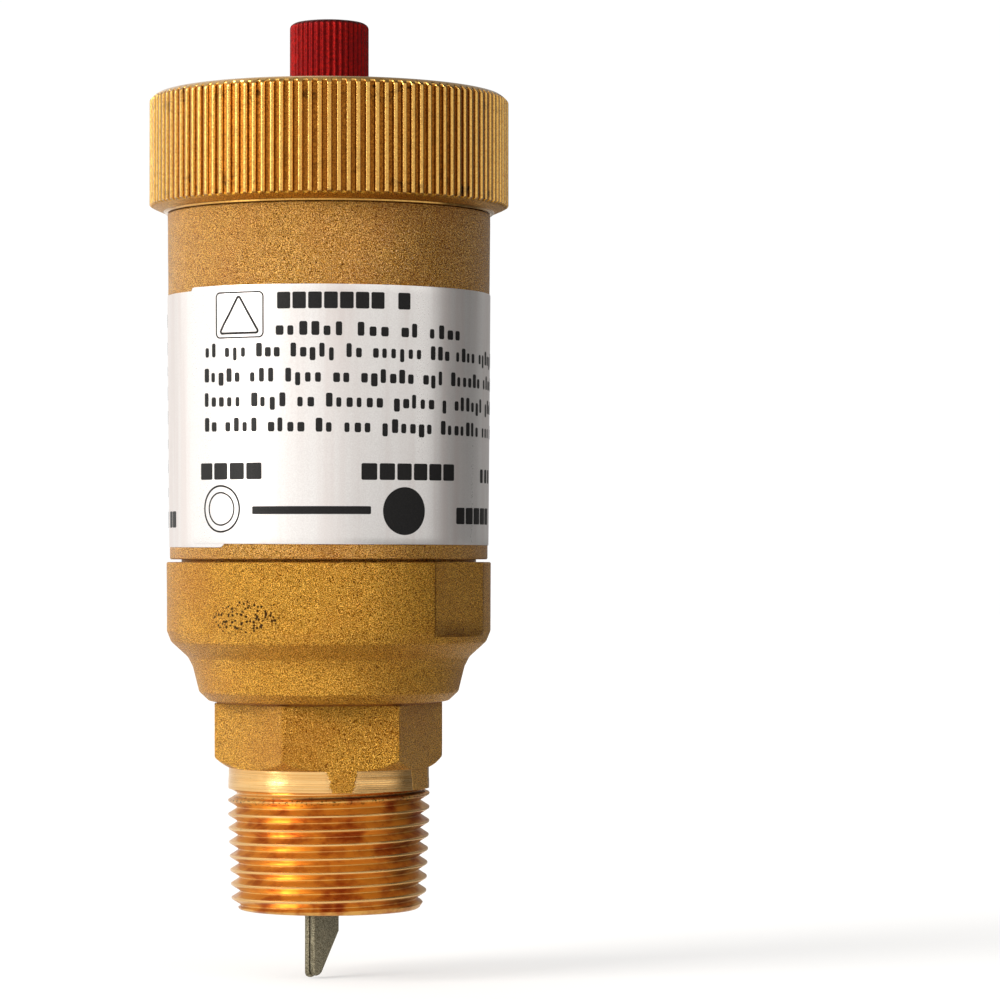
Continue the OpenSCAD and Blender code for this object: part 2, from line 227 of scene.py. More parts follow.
# (r, z) from the retainer's step down the bore to the end face
BORE = [
    (9.6, 29.0), (9.6, 24.0), (9.0, 24.0), (9.0, 12.0), (9.0, 0.65), (9.07, 0.55),
    (9.6, 0.06), (9.68, 0.0), (10.4, 0.0), (11.2, 0.0), (11.45, 0.0),
]
NECK_ROWS = [15.7, 15.9, 16.2, 16.6, 16.75, 16.95, 17.2, 17.5, 17.8, 18.05, 18.25, 18.4]
NECK_TURNED = ([15.2, 15.4, 16.6, 17.2, 18.4], [12.95, 13.1, 13.1, 13.06, 13.05])
HEX_ROWS = [
    18.42, 18.5, 18.65, 18.85, 19.1, 19.35, 19.6, 19.85, 20.1, 20.6,
    21.6, 22.8, 24.0, 25.2, 26.0, 26.35, 26.6, 26.72, 26.8,
]
HEX_UNDERSIDE = ([18.4, 18.5, 18.9, 19.7, 19.95, 20.2], [13.05, 13.28, 13.95, 14.95, 15.2, 15.5])
HEX_TOP = ([26.3, 26.6, 26.8], [20, 15.15, 14.9])
# (r, z, corner radius) over the undercut, the waist and the bell, then down inside it
BELL = [
    (14.3, 26.8), (14.55, 26.86, 0.03), (15.65, 27.1, 0.4), (16.9, 28.25, 0.8),
    (17.72, 31.5, 2.0), (18.35, 32.75, 1.4), (20.55, 34.75, 1.1), (21.12, 36.15, 0.9),
    (21.12, 40.0), (BELL_R, 44.5), (BELL_R, 45.1, 0.2), (20.0, 45.1), (19.25, 45.1, 0.12),
    (19.25, 43.0), (19.25, 37.2), (17.0, 37.2), (17.0, 36.0), (14.4, 32.0), (9.6, 29.0),
]


def thread_radius(z, ang):
    """Tapered V thread on a helix, with its run-out groove and its end chamfer."""
    u = (z / PITCH - ang / TAU - THREAD_START) % 1.0
    depth = np.interp(np.minimum(u, 1 - u), *THREAD_DEPTH)
    r = THREAD_R + THREAD_TAPER * np.minimum(z, 12.0) - depth
    # the last turn runs out into a narrow groove under the neck, which is tilted like the helix
    groove = np.interp(z - RUN_OUT_RISE * np.cos(ang), *THREAD_GROOVE)
    return np.minimum(np.minimum(r, groove), np.interp(z, *THREAD_CHAMFER))


def hex_radius(ang, apothem, corner):
    """Distance from the axis to a hexagon's side, with corners that bend over below corner."""
    local = (ang - math.radians(HEX_TURN) - math.radians(30)) % (TAU / 6)
    local = np.minimum(local, TAU / 6 - local)
    r = apothem / np.cos(local)
    bend = 0.32
    knee = corner - bend
    over = np.maximum(r - knee, 0)
    return np.where(r > knee, knee + bend * (1 - np.exp(-over / bend)), r)


def bell_radius(r, ang):
    """The bell with a wrench flat on both sides, each with a narrow bevelled edge."""
    out = np.array(r, float)
    for at in FLATS_AT:
        away = np.abs((np.degrees(ang) - at + 180) % 360 - 180)
        edge = np.degrees(np.arccos(np.clip(BELL_FLAT / out, -1, 1)))
        flat = BELL_FLAT / np.cos(np.radians(np.clip(away, 0, 60)))
        bevel_r = BELL_FLAT / np.cos(np.radians(np.maximum(edge - FLAT_BEVEL, 0)))
        t = np.clip((away - (edge - FLAT_BEVEL)) / (2 * FLAT_BEVEL), 0, 1)
        chord = bevel_r * (1 - t) + out * t
        on_bevel = (away > edge - FLAT_BEVEL) & (away < edge + FLAT_BEVEL)
        out = np.where(on_bevel, np.minimum(chord, out), np.minimum(out, flat))
    return out


def lower_angles():
    """Columns every 1.125 degrees, and extra ones at the hexagon's corners and the flats' edges."""
    special = [(HEX_TURN + 60 * k + d) % 360 for k in range(6) for d in (-1.6, -0.8, 0, 0.8, 1.6)]
    half = math.degrees(math.acos(BELL_FLAT / BELL_R))
    for d in (-FLAT_BEVEL, FLAT_BEVEL):
        special += [(at + side * (half + d)) % 360 for at in FLATS_AT for side in (-1, 1)]

    regular = [a for a in np.arange(0, 360, 1.125)
               if min(abs((a - s + 180) % 360 - 180) for s in special) > 0.45]
    return np.radians(sorted(special + regular))


def helical_faces(rows, n, first, last, per):
    """Quads of the rows; rows first to last follow the helix and climb per rows in one turn."""
    faces = []
    for i in range(rows):
        i2 = (i + 1) % rows
        faces += [(i * n + j, i * n + j + 1, i2 * n + j + 1, i2 * n + j) for j in range(n - 1)]
        # past the last column a helical row goes on one pitch up
        a = min(i + per, last) if first <= i <= last else i
        b = min(i2 + per, last) if first <= i2 <= last else i2
        if i2 == first:  # the end face meets the first helical row
            b = first
        faces.append((i * n + n - 1, a * n, b * n, i2 * n + n - 1))
    return faces


def add_neck(rings, wobble):
    """Collar and turned neck; forged skin stays wherever it lies below the tool's cut."""
    ang = rings.ang
    lean = np.cos(ang - SKIN_LEFT_AT)
    for z in NECK_ROWS:
        turned = np.interp(z, *NECK_TURNED)
        off = 0.2 * lean - 0.05 * (z - 15.2) + 0.14 * np.maximum(0, lean) ** 6
        skin = hex_radius(ang, 12.96, 15.1) + off + wobble + 0.01 * waves(ang, z, 8, zlen=12)
        rings.add(smooth_min(skin, turned, 0.12), z, smooth(skin - turned, -0.1, 0.1))


def add_hexagon(rings, wobble):
    """Forged underside of the hexagon, its sides and its top shoulder."""
    ang = rings.ang
    uneven = 0.16 * waves(ang, 0.0, 31, hi=12)
    for z in HEX_ROWS:
        cone = np.interp(z - uneven, *HEX_UNDERSIDE)
        draft = 0.05 * min((z - HEX_FOOT) / 3, 1)
        side = hex_radius(ang, HEX_APOTHEM + draft, HEX_CORNER) + wobble
        mask = smooth(side - NECK_R, -0.012, 0.012) * 0.5 if z == HEX_ROWS[0] else 0.0
        rings.add(np.minimum(smooth_min(side, cone, 0.12), np.interp(z, *HEX_TOP)), z, mask)


def add_bell(rings):
    """Undercut, waist and bell, with a sharp ledge at the foot of each wrench flat."""
    ang = rings.ang
    # the first and the last corner have no radius, so the profile may be rounded as if closed
    points = dense(rounded(BELL, segs=5), 1.1, closed=False)
    fine = []
    for p, q in zip(points, points[1:]):
        fine.append(p)
        if p[1] < LEDGE_Z < q[1] and p[0] > 20:
            for z in (LEDGE_Z - 0.04, LEDGE_Z + 0.04):
                fine.append((p[0] + (q[0] - p[0]) * (z - p[1]) / (q[1] - p[1]), z))
    for r, z in fine[1:]:
        outer = r > 13.5 and not (r < 19.6 and z > 36.9)
        row = np.full(len(ang), r)
        if r > 14.3 and outer:
            row = row + 0.03 * waves(ang, z, 11) * smooth(z, 26.9, 29.0)
            row = row + 0.02 * waves(ang, z, 23, lo=8, hi=26, zlen=9)
        if z > LEDGE_Z and r > 20.2:
            row = bell_radius(row, ang)
        rings.add(row, z, 0.0 if outer else 1.0)


def lower_body():
    ang = lower_angles()
    rings = Rings(ang)
    rings.add_all(BORE, 1.0)
    first = len(rings.r)
    # the thread's rows follow the helix, and are held inside the thread's own span
    for k in range(-2, int(math.ceil(THREAD_TOP / PITCH)) + 2):
        for s in THREAD_ROWS:
            z = np.clip(PITCH * (k + s + THREAD_START + ang / TAU), 0.0, THREAD_TOP)
            rings.add(thread_radius(z, ang), z, 1.0)
    last = len(rings.r) - 1
    wobble = waves(ang, 0.0, 5) * 0.02
    add_neck(rings, wobble)
    add_hexagon(rings, wobble)
    add_bell(rings)
    faces = helical_faces(len(rings.r), len(ang), first, last, len(THREAD_ROWS))
    return finish_mesh(
        "lower_body_forging", rings.points(), faces, "pot", ["lower_body"],
        sharp=34, attrs={"turned": np.array(rings.mask).reshape(-1)},
    )


# ---------------------------------------------------------------- upper body
# (r, z, corner radius): spigot, wall, shoulder, neck with its O-ring groove, deck and inside
CASTING = [
    (17.0, 38.8, 0.1), (19.2, 38.8, 0.15), (19.2, 45.45), (20.7, 45.45, 0.22),
    (21.05, 90.42, 0.12), (20.0, 90.42, 0.1), (20.0, 100.2, 0.1), (18.6, 100.2, 0.1),
    (18.6, 101.8, 0.1), (20.0, 101.8, 0.1), (20.0, 102.4, 0.15), (16.0, 102.4, 0.15),
    (16.0, 97.1), (4.05, 97.1, 0.1), (4.05, 93.6, 0.1), (18.3, 93.6, 0.8),
    (18.3, 46.0, 0.1), (17.0, 46.0, 0.1),
]


def pot_wall(z):
    """The CAD pot's outer radius at a height."""
    return 20.7 + (21.05 - 20.7) * (z - 45.4) / (90.1 - 45.4)


def upper_body():
    def shape(r, z, a):
        outside = (r > 20.3) & (z < 90.2)
        slow = 0.035 * waves(a, z, 3, hi=7, zlen=70) + 0.012 * waves(a, z, 4, lo=7, hi=22, zlen=14)
        # under the label the skin stays below the foil
        under = smooth(z, 46.5, 47.5) * (1 - smooth(z, 80.5, 81.5))
        return r + np.where(outside, slow * (1 - under), 0)

    line = dense(rounded(CASTING), 1.3)
    return lathe("upper_body_casting", line, 288, "pot", "upper_body", shape=shape)


# ---------------------------------------------------------------- label
LABEL_FROM = -146.6  # polar angle of the outer end's edge, in degrees
LABEL_SWEEP = 377.2
LABEL_LOW, LABEL_HIGH = 47.45, 80.1
LABEL_SAG = 0.45  # the label was wound on slightly askew: mm per turn
FOIL = 0.1
GLUE = 0.015
MM_PER_DEGREE = 21.0 / DEGREES  # along the label's face


def label_lift(s):
    """The outer end lies on the inner end, and comes down to the wall just past it."""
    return (FOIL + 0.02) * (1 - smooth(s, LABEL_SWEEP - 360 + 0.3, LABEL_SWEEP - 360 + 3.2))


def label_point(s, z, out):
    """A point on the label's spiral, s degrees from its outer end, out mm off its face."""
    r = pot_wall(z) + GLUE + label_lift(s) + FOIL + out
    return polar(r, z, np.radians(LABEL_FROM + s))


def corner_cut(along, rad):
    """How much an end rounded to rad narrows, at a distance along from that end."""
    arc = rad - np.sqrt(np.maximum(rad**2 - (rad - along) ** 2, 0))
    return np.where(along < rad, arc, 0)


def label():
    near_seam = np.linspace(16.8, 21, 43)
    s = np.unique(np.concatenate([np.arange(0, LABEL_SWEEP, 1.2), near_seam, [LABEL_SWEEP]]))
    v = np.concatenate([[0, 0.002, 0.004], np.linspace(0.03, 0.97, 13), [0.996, 0.998, 1.0]])
    S, V = np.meshgrid(s, v)
    end = np.minimum(S, LABEL_SWEEP - S)
    pull = corner_cut(end * MM_PER_DEGREE, 0.8)
    lo = LABEL_LOW - LABEL_SAG * S / 360 + pull
    hi = LABEL_HIGH - LABEL_SAG * S / 360 - pull
    z = lo + (hi - lo) * V
    # the foil's edge is a little below its face all round
    edge = np.minimum(V, 1 - V)
    drop = np.where(edge < 0.003, 0.03 * (1 - edge / 0.003), 0)
    drop = np.maximum(drop, np.where(end < 0.05, 0.03, 0))
    # rows go up the outer side and down the inner one
    co = np.concatenate([label_point(S, z, -drop), label_point(S, z, -FOIL)[::-1]])
    m, n = len(v), len(s)
    faces = grid_faces(2 * m, n, True, False)
    for i in range(m - 1):
        end = [i * n, (2 * m - 1 - i) * n, (2 * m - 2 - i) * n, (i + 1) * n]
        faces += [end[::-1], [k + n - 1 for k in end]]
    return finish_mesh("label_foil", co.reshape(-1, 3), faces, "pot", ["label"], sharp=50)


class Print:
    """Ink on the label, as very thin curved pads. A place on it is (theta in degrees, z in mm)."""

    def __init__(self):
        self.co, self.faces, self.count = [], [], 0

    def strip(self, a, b, closed):
        """A pad between two equally long lines of points."""
        n = len(a)
        # a low, a high, b high, b low, as a closed tube
        for line, out in ((a, 0.001), (a, 0.02), (b, 0.02), (b, 0.001)):
            self.co.append(label_point(line[:, 0] - 90 - LABEL_FROM, line[:, 1], out))
        self.faces += grid_faces(4, n, True, closed, self.count)
        if not closed:
            end = [self.count + k * n for k in range(4)]
            self.faces += [end[::-1], [k + n - 1 for k in end]]
        self.count += 4 * n

    def bar(self, left, right, z0, z1, tilt=0.0, soft=0.3):
        """A bar with rounded ends. tilt is the rise in mm per degree."""
        t = left + (right - left) * np.linspace(0, 1, max(8, int((right - left) / 0.7) + 6))
        h = (z1 - z0) / 2
        c = (z0 + z1) / 2 + (t - left) * tilt
        along = np.minimum(t - left, right - t) * MM_PER_DEGREE
        h = np.maximum(h - corner_cut(along, min(soft, h)) * 0.98, 0.02)
        self.strip(np.stack([t, c - h], 1), np.stack([t, c + h], 1), False)

    def disc(self, theta, z, rad, hole=None):
        """A ring, or a dot, which is cut into rings so that it follows the curve."""
        t = -np.arange(64) * TAU / 64
        edges = (hole, rad) if hole else (0.0, 0.35 * rad, 0.7 * rad, rad)
        circles = [np.stack([theta + e * np.cos(t) / MM_PER_DEGREE, z + e * np.sin(t)], 1)
                   for e in edges]
        for inner, outer in zip(circles, circles[1:]):
            self.strip(inner, outer, True)

    def frame(self, theta, z, polygon, width, corner):
        """A closed line round a polygon of (x mm, z mm) about a place on the label."""
        lines = []
        for offset in (width / 2, -width / 2):
            line = offset_line(polygon, offset, corner)
            lines.append(np.stack([theta + line[:, 0] / MM_PER_DEGREE, z + line[:, 1]], 1))
        self.strip(*lines, True)


def offset_line(polygon, offset, corner):
    """The polygon moved outwards by offset, with round corners and points along its sides."""
    pts = [np.array(p, float) for p in polygon]
    arc, along = 8, 24  # points per corner and per side
    out = []
    for k, b in enumerate(pts):
        u, v = unit(b - pts[k - 1]), unit(pts[(k + 1) % len(pts)] - b)
        nu, nv = np.array([-u[1], u[0]]), np.array([-v[1], v[0]])
        bisector = unit(nu + nv)
        tip = b - bisector * offset / max(0.3, float(bisector @ nu))
        rad = max(0.02, corner + offset)
        turn = math.acos(float(np.clip(u @ v, -1, 1)))
        centre = tip - u * rad * math.tan(turn / 2) + nu * rad
        start = math.atan2(-nu[1], -nu[0])
        for t in np.linspace(0, 1, arc):
            ang = start + turn * t
            out.append(centre + rad * np.array([math.cos(ang), math.sin(ang)]))
    line = []
    for k, p in enumerate(out):
        q = out[(k + 1) % len(out)]
        steps = along if k % arc == arc - 1 else 1
        line += [p + (q - p) * t / steps for t in range(steps)]
    return np.array(line)


TEXT_TILT = -0.004  # mm per degree
# theta of both ends, height, letters per word
SMALL_ROWS = [
    (-18.6, 54.0, 74.25, [6, 3, 2, 4]),
    (-47.8, 118, 71.65, [2, 3, 3, 5, 2, 6, 3, 4, 5, 3, 6]),
    (-48.3, 118, 68.5, [5, 3, 4, 2, 6, 3, 6, 4, 3, 5]),
    (-48.3, 118, 65.4, [5, 4, 2, 6, 5, 1, 6, 4, 3, 4]),
    (-48.3, 118, 62.25, [2, 4, 4, 2, 3, 6, 7, 3, 5, 4]),
]
HEAVY_ROWS = [
    (-18.4, 29.5, 78.0, [7, 1]),
    (-51.0, -23.4, 56.6, [4]),
    (10.8, 50.0, 56.5, [6]),
    (50.6, 80.0, 51.0, [5]),
    (206, 290, 50.6, [5, 3, 4, 2]),
]


def label_print():
    """Plain blocks, rings and bars where the label has text and symbols."""
    p = Print()
    rng = np.random.default_rng(7)

    def words(theta0, theta1, z, lengths, heavy=False, tilt=0.0):
        """A row of plain blocks that stands for a row of text; lengths are in letters."""
        space = 0.8
        letter = (theta1 - theta0) / (sum(lengths) + space * (len(lengths) - 1))
        at = theta0
        for length in lengths:
            for k in range(length):
                left = at + k * letter
                if heavy:
                    left += 0.06 * letter
                    up, down, wide = 1.05, 1.05, 0.86
                else:
                    pick, wide = rng.random(), 0.45 + 0.25 * rng.random()
                    up = 1.15 if pick < 0.32 or k == 0 and pick > 0.8 else 0.6
                    down = 1.05 if 0.32 < pick < 0.42 else 0.6
                mid = z + (left - theta0) * tilt
                soft = 0.12 if heavy else 0.2
                p.bar(left, left + wide * letter, mid - down, mid + up, tilt, soft)
            at += (length + space) * letter

    def some_words():
        return [int(x) for x in rng.integers(2, 8, 6)]

    # boxed triangle
    p.frame(-32.8, 76.3, [(-3.5, -2.85), (3.5, -2.85), (3.5, 2.85), (-3.5, 2.85)], 0.19, 0.6)
    p.frame(-32.8, 76.3, [(-2.95, -2.3), (2.95, -2.3), (0, 2.5)], 0.3, 0.25)

    for row in HEAVY_ROWS:
        words(*row, heavy=True)
    for row in SMALL_ROWS:
        words(*row, tilt=TEXT_TILT)
    words(68.5, 84.0, 55.9, [3])

    # ring, bar and dot: turned open at one end, shut at the other
    p.disc(-40.7, 51.85, 3.02, 2.78)
    p.disc(-40.7, 51.85, 2.15, 1.95)
    p.bar(-27.6, 14.6, 51.15, 52.15, soft=0.05)
    p.disc(27.2, 51.55, 3.02)

    # the sides and the back
    for k in range(8):
        z = 76.4 - 3.15 * k
        if k < 5:
            words(134, 196, z, some_words())
        words(208, 274, z - 0.2, some_words())
    words(134, 158, 57.2, [5])
    co = np.concatenate(p.co)
    return finish_mesh("label_print", co, p.faces, "pot", sharp=60)


# ---------------------------------------------------------------- knurled head
KNURL_RIBS, KNURL_R = 120, 23.45
KNURL_OFFSETS = [-0.5, -0.31, -0.26, -0.21, -0.15, 0.0, 0.15, 0.21, 0.26, 0.31]
KNURL_RIDGE = ([0, 0.15, 0.21, 0.26, 0.31, 0.5], [0.0, -0.012, -0.07, -0.28, -0.42, -0.44])
KNURL_ROWS = [
    90.5, 90.54, 90.72, 90.75, 90.85, 91.0, 91.15, 91.3, 91.4, 91.5, 91.58, 91.66, 91.8, 92.2, 93.0,
    *np.linspace(94.0, 103.5, 8),
    104.4, 104.8, 105.0, 105.15, 105.3, 105.45, 105.6, 105.8, 105.92,
]
KNURL_CONE = ([90.5, 90.54, 90.72, 90.75, 91.3, 91.66], [21.36, 21.42, 21.43, 21.68, 22.95, 23.6])
KNURL_TOP = ([104.9, 105.35, 105.75, 105.95, 106.0], [23.6, 23.25, 22.8, 22.45, 22.2])
HEAD_BELOW = [(20.05, 92.0), (20.05, 91.1), (20.35, 90.75), (20.62, 90.52), (20.7, 90.5), (21.0, 90.5)]
# over the rim, across the top to the cap, through the nozzle's hole and back along the inside
HEAD_ABOVE = [
    (22.2, 106.0), (21.0, 106.0), (20.9, 105.93), (20.7, 105.9), (14.0, 105.9), (8.2, 105.9),
    (8.0, 105.93), (7.8, 106.0), (4.1, 106.0), (3.75, 105.9), (3.65, 105.7), (3.65, 104.9),
    (6.4, 104.9), (6.5, 104.8), (6.5, 102.95), (6.6, 102.9), (12.0, 102.9), (19.4, 102.9),
    (20.0, 102.6), (20.05, 102.3),
]


def knurled_head():
    ang, ridge = ribbed(KNURL_RIBS, KNURL_OFFSETS, *KNURL_RIDGE)
    # ridges differ a little, as a worn knurling wheel leaves them
    rng = np.random.default_rng(2)
    vary = np.repeat(rng.uniform(-0.035, 0.02, KNURL_RIBS), len(KNURL_OFFSETS))
    rings = Rings(ang)
    rings.add_all(HEAD_BELOW)
    for z in KNURL_ROWS:
        limit = min(np.interp(z, *KNURL_CONE), np.interp(z, *KNURL_TOP))
        rings.add(np.minimum(KNURL_R + ridge + vary, limit), z)
    rings.add_all(HEAD_ABOVE)
    return rings.finish("knurled_head_turned", "head", "knurled_head", 38)


# ---------------------------------------------------------------- nozzle and cap
NOZZLE_FOOT = [
    (0.0, 100.4), (2.4, 100.4, 0.08), (2.4, 100.9, 0.08), (1.6, 100.9, 0.05), (1.6, 102.05, 0.05),
    (2.6, 102.05, 0.08), (2.6, 103.4), (5.4, 103.4, 0.1), (5.4, 104.4, 0.1), (3.05, 104.4),
    (3.05, 106.3),
]
NOZZLE_TIP = [(3.2, 112.15), (3.2, 112.6, 0.25), (1.3, 112.6, 0.1), (1.3, 102.4, 0.1), (0.0, 102.4)]
CAP_RIBS, CAP_R, CAP_BODY_R = 40, 5.15, 4.96
CAP_OFFSETS = [-0.5, -0.36, -0.26, -0.17, -0.08, 0.0, 0.08, 0.17, 0.26, 0.36]
CAP_RIDGE = ([0, 0.1, 0.19, 0.25, 0.34, 0.5], [0.0, -0.01, -0.04, -0.12, -0.21, -0.225])
# z, radius between the ribs, share of the ribs' height
CAP_ROWS = [
    (106.22, 4.85, 0), (106.3, 4.93, 0), (106.4, 4.95, 0.3), (106.55, CAP_BODY_R, 0.85),
    *[(z, CAP_BODY_R, 1) for z in (106.7, 108.5, 110.5, 112.5, 114.0, 114.8)],
    (114.95, 4.95, 0.95), (115.1, 4.92, 0.8), (115.22, 4.87, 0.5), (115.32, 4.8, 0.2),
    (115.42, 4.69, 0), (115.5, 4.5, 0), (115.55, 4.25, 0), (115.62, 3.8, 0), (115.69, 3.1, 0),
    (115.75, 2.2, 0), (115.79, 1.2, 0), (115.8, 0.5, 0), (115.8, 0.0, 0),
]
# the fine thread between the two, made as rings: its pitch and (height, radius) over one ring
FINE_PITCH = 0.7
NOZZLE_THREAD = [(0.1, 3.1), (0.28, 3.5), (0.34, 3.56), (0.4, 3.5), (0.58, 3.1)]
CAP_THREAD = [(0.0, 3.7), (-0.12, 3.7), (-0.3, 3.63), (-0.4, 3.63), (-0.58, 3.7)]


def vent_nozzle():
    points = rounded(NOZZLE_FOOT)
    z = 106.3
    while z < 111.9:
        points += [(r, z + dz) for dz, r in NOZZLE_THREAD]
        z += FINE_PITCH
    points += rounded(NOZZLE_TIP)
    return lathe("vent_nozzle_turned", points, 96, "head", "vent_nozzle", closed=False)


def vent_cap():
    ang, ridge = ribbed(CAP_RIBS, CAP_OFFSETS, *CAP_RIDGE)
    rings = Rings(ang)
    rings.add_all([(3.7, 106.35), (3.85, 106.22), (4.0, 106.2), (4.75, 106.2)])
    for z, base, share in CAP_ROWS:
        rings.add(base + share * (CAP_R - CAP_BODY_R + ridge), z)
    rings.add_all([(0.0, 113.6), (3.4, 113.6), (3.7, 113.55), (3.7, 112.4)])
    z = 112.2
    while z > 107.0:
        rings.add_all([(r, z + dz) for dz, r in CAP_THREAD])
        z -= FINE_PITCH
    return rings.finish("vent_cap_moulded", "cap", "vent_cap", 40)


# ---------------------------------------------------------------- drip strip
LEAF, LEAF_GAP, HALF_WIDTH, STRIP_TOP = 0.78, 0.14, 2.5, 27.3
STRIP_TURN = math.radians(50)
STRIP_X = -0.9


def leaf_outline(shift):
    """(x, z) round one leaf; shift raises its slanting lower end."""
    w = HALF_WIDTH
    tip = [(-w, -8.3), (-2.3, -8.72), (-1.9, -8.9), (-1.45, -8.82), (-1.0, -8.55)]
    line = [(-w, STRIP_TOP), (-w, 10.0), (-w, -2.0)] + [(x, z + shift) for x, z in tip]
    slant = 5.45 - shift
    line += [(-1.0 + (w + 1.0) * k / 5, -8.55 + shift + slant * k / 5) for k in range(1, 5)]
    return np.array(line + [(w, -3.1), (w, 4.0), (w, 12.0), (w, STRIP_TOP)])


def drip_blade():
    """Strip folded double, both leaves with rounded edges, cut slanting at the lower end."""
    co, faces = [], []

    def take(points, quads):
        base = sum(len(c) for c in co)
        co.append(points)
        faces.extend([tuple(base + i for i in f) for f in quads])

    def leaf(y0, y1, shift):
        pts = leaf_outline(shift)
        # outward normals of the outline, for rounding its edge over the thickness
        d = np.roll(pts, -1, 0) - np.roll(pts, 1, 0)
        nrm = np.stack([-d[:, 1], d[:, 0]], 1)
        nrm /= np.linalg.norm(nrm, axis=1)[:, None]
        rows = []
        for k in range(9):
            a = math.pi * k / 8
            y = (y0 + y1) / 2 - math.cos(a) * (y1 - y0) / 2
            inset = 0.2 if k in (0, 8) else 0.16 * (1 - math.sin(a) ** 0.5)
            q = pts + nrm * inset
            rows.append(np.stack([q[:, 0], np.full(len(q), y), q[:, 1]], 1))
        m, n = len(rows), len(pts)
        quads = [f[::-1] for f in grid_faces(m, n, False, True)]
        take(np.array(rows).reshape(-1, 3), quads + [range(n), range(m * n - 1, (m - 1) * n - 1, -1)])

    def block(x0, x1, y0, y1, z0, z1):
        corners = [(x, y, z) for z in (z0, z1) for y in (y0, y1) for x in (x0, x1)]
        sides = [(0, 2, 3, 1), (4, 5, 7, 6), (0, 1, 5, 4), (1, 3, 7, 5), (3, 2, 6, 7), (2, 0, 4, 6)]
        take(np.array(corners, float), sides)

    leaf(LEAF_GAP / 2, LEAF_GAP / 2 + LEAF, 0.0)
    leaf(-LEAF_GAP / 2 - LEAF, -LEAF_GAP / 2, 0.25)
    # ears that rest on the retainer, and the fold between the leaves
    block(-HALF_WIDTH, HALF_WIDTH, -2.4, -0.8, 25.5, 26.2)
    block(-HALF_WIDTH, HALF_WIDTH, 0.8, 2.4, 25.5, 26.2)
    block(-HALF_WIDTH, HALF_WIDTH, -LEAF_GAP / 2, LEAF_GAP / 2, STRIP_TOP - 0.8, STRIP_TOP)
    x, y, z = np.concatenate(co).T
    cos, sin = math.cos(STRIP_TURN), math.sin(STRIP_TURN)
    placed = np.stack([x * cos - y * sin + STRIP_X, x * sin + y * cos, z], 1)
    return finish_mesh("drip_strip", placed, faces, "pot", ["drip_blade"], sharp=40)


# ---------------------------------------------------------------- node tools
def wire(tree, value, socket):
    """Links an output to a socket, or sets the socket to a plain value."""
    if hasattr(value, "is_output"):
        tree.links.new(value, socket)
    else:
        socket.default_value = value


def add_node(tree, kind, inputs=None, **props):
    """A new node; inputs gives values or outputs by socket, props its settings."""
    node = tree.nodes.new(kind)
    for key, value in props.items():
        setattr(node, key, value)
    for key, value in (inputs or {}).items():
        wire(tree, value, node.inputs[key])
    return node


def math_node(tree, op, *values):
    return add_node(tree, "ShaderNodeMath", dict(enumerate(values)), operation=op).outputs[0]


def map_range(tree, value, a, b, c=0.0, d=1.0, kind="SMOOTHSTEP"):
    """c where the value is a, d where it is b, and no further."""
    inputs = {"Value": value, "From Min": a, "From Max": b, "To Min": c, "To Max": d}
    return add_node(tree, "ShaderNodeMapRange", inputs, interpolation_type=kind).outputs["Result"]


